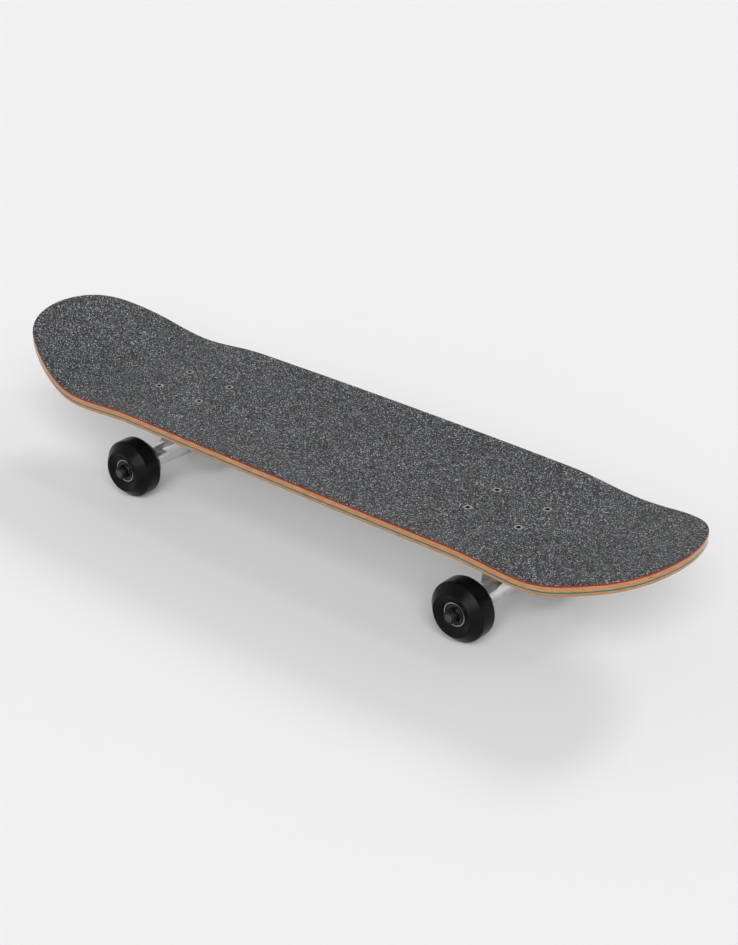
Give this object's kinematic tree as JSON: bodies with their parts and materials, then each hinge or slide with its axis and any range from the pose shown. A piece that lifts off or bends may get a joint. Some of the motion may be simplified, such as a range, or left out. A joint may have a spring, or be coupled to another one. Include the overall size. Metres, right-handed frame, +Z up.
{
  "type": "skateboard",
  "caption": "Popsicle-shaped skateboard: laminated deck with grip tape, steering kingpin trucks and free-rolling urethane wheels on ball bearings.",
  "frame": {"origin": "on the floor, midway between the deck's two tips and midway across its width", "axes": "+X along the deck towards the tail, +Y to the rider's right when facing the nose, +Z up"},
  "size_m": [0.748, 0.187, 0.1273],
  "materials": {
    "maple": "satin lacquered maple",
    "teal_veneer": "dyed maple veneer",
    "red_veneer": "dyed maple veneer",
    "grip_tape": "rough abrasive grit on a film",
    "bolt_steel": "plated",
    "nut_steel": "plated",
    "cast_aluminium": "as cast, tumbled",
    "cup_plastic": "satin",
    "kingpin_steel": "oiled",
    "black_steel": "black oxide",
    "washer_steel": "zinc plated",
    "bushing_urethane": "satin",
    "axle_steel": "turned",
    "wheel_urethane": "satin",
    "bearing_steel": "ground",
    "ball_steel": "polished",
    "bearing_shield": "satin"
  },
  "bodies": {
    "deck": {"ply_1": "maple", "ply_2": "maple", "ply_3": "teal_veneer", "ply_4": "maple", "ply_5": "maple", "ply_6": "maple", "ply_7": "red_veneer", "grip_tape": "grip_tape", "mounting_bolts": "bolt_steel", "mounting_nuts": "nut_steel", "nose_baseplate": "cast_aluminium", "nose_pivot_cup": "cup_plastic", "nose_kingpin": "kingpin_steel", "nose_kingpin_nut": "black_steel", "nose_board_washer": "washer_steel", "nose_road_washer": "washer_steel", "nose_board_bushing": "bushing_urethane", "nose_road_bushing": "bushing_urethane", "tail_baseplate": "cast_aluminium", "tail_pivot_cup": "cup_plastic", "tail_kingpin": "kingpin_steel", "tail_kingpin_nut": "black_steel", "tail_board_washer": "washer_steel", "tail_road_washer": "washer_steel", "tail_board_bushing": "bushing_urethane", "tail_road_bushing": "bushing_urethane"},
    "nose_hanger": {"nose_hanger": "cast_aluminium", "nose_axle": "axle_steel", "nose_axle_nuts": "black_steel", "nose_speed_rings": "washer_steel", "nose_left_inner_races": "bearing_steel", "nose_left_bearing_spacer": "washer_steel", "nose_right_inner_races": "bearing_steel", "nose_right_bearing_spacer": "washer_steel"},
    "nose_left_wheel": {"nose_left_tyre": "wheel_urethane", "nose_left_outer_races": "bearing_steel", "nose_left_shields": "bearing_shield"},
    "nose_left_ball_cages": {"nose_left_balls_and_cages": "ball_steel"},
    "nose_right_wheel": {"nose_right_tyre": "wheel_urethane", "nose_right_outer_races": "bearing_steel", "nose_right_shields": "bearing_shield"},
    "nose_right_ball_cages": {"nose_right_balls_and_cages": "ball_steel"},
    "tail_hanger": {"tail_hanger": "cast_aluminium", "tail_axle": "axle_steel", "tail_axle_nuts": "black_steel", "tail_speed_rings": "washer_steel", "tail_left_inner_races": "bearing_steel", "tail_left_bearing_spacer": "washer_steel", "tail_right_inner_races": "bearing_steel", "tail_right_bearing_spacer": "washer_steel"},
    "tail_left_wheel": {"tail_left_tyre": "wheel_urethane", "tail_left_outer_races": "bearing_steel", "tail_left_shields": "bearing_shield"},
    "tail_left_ball_cages": {"tail_left_balls_and_cages": "ball_steel"},
    "tail_right_wheel": {"tail_right_tyre": "wheel_urethane", "tail_right_outer_races": "bearing_steel", "tail_right_shields": "bearing_shield"},
    "tail_right_ball_cages": {"tail_right_balls_and_cages": "ball_steel"}
  },
  "joints": [
    {"name": "nose_truck_steer", "type": "hinge", "parent": "deck", "child": "nose_hanger", "pos_m": [-0.215, 0, 0.066], "axis": [-0.8087, 0, 0.5882], "range_deg": [-12, 12], "stiffness_Nm_per_rad": 40, "deforming": ["nose_board_bushing", "nose_road_bushing"]},
    {"name": "nose_left_wheel_roll", "type": "hinge", "parent": "nose_hanger", "child": "nose_left_wheel", "pos_m": [-0.196, -0.0733, 0.028], "axis": [0, 1, 0], "continuous": true},
    {"name": "nose_left_ball_cages_roll", "type": "hinge", "parent": "nose_hanger", "child": "nose_left_ball_cages", "pos_m": [-0.196, -0.0733, 0.028], "axis": [0, 1, 0], "continuous": true},
    {"name": "nose_right_wheel_roll", "type": "hinge", "parent": "nose_hanger", "child": "nose_right_wheel", "pos_m": [-0.196, 0.0733, 0.028], "axis": [0, 1, 0], "continuous": true},
    {"name": "nose_right_ball_cages_roll", "type": "hinge", "parent": "nose_hanger", "child": "nose_right_ball_cages", "pos_m": [-0.196, 0.0733, 0.028], "axis": [0, 1, 0], "continuous": true},
    {"name": "tail_truck_steer", "type": "hinge", "parent": "deck", "child": "tail_hanger", "pos_m": [0.223, 0, 0.066], "axis": [0.8087, 0, 0.5882], "range_deg": [-12, 12], "stiffness_Nm_per_rad": 40, "deforming": ["tail_board_bushing", "tail_road_bushing"]},
    {"name": "tail_left_wheel_roll", "type": "hinge", "parent": "tail_hanger", "child": "tail_left_wheel", "pos_m": [0.204, -0.0733, 0.028], "axis": [0, 1, 0], "continuous": true},
    {"name": "tail_left_ball_cages_roll", "type": "hinge", "parent": "tail_hanger", "child": "tail_left_ball_cages", "pos_m": [0.204, -0.0733, 0.028], "axis": [0, 1, 0], "continuous": true},
    {"name": "tail_right_wheel_roll", "type": "hinge", "parent": "tail_hanger", "child": "tail_right_wheel", "pos_m": [0.204, 0.0733, 0.028], "axis": [0, 1, 0], "continuous": true},
    {"name": "tail_right_ball_cages_roll", "type": "hinge", "parent": "tail_hanger", "child": "tail_right_ball_cages", "pos_m": [0.204, 0.0733, 0.028], "axis": [0, 1, 0], "continuous": true}
  ],
  "couplings": [
    {"joint": "nose_left_ball_cages_roll", "follows": "nose_left_wheel_roll", "ratio": 0.6323},
    {"joint": "nose_right_ball_cages_roll", "follows": "nose_right_wheel_roll", "ratio": 0.6323},
    {"joint": "tail_left_ball_cages_roll", "follows": "tail_left_wheel_roll", "ratio": 0.6323},
    {"joint": "tail_right_ball_cages_roll", "follows": "tail_right_wheel_roll", "ratio": 0.6323}
  ]
}
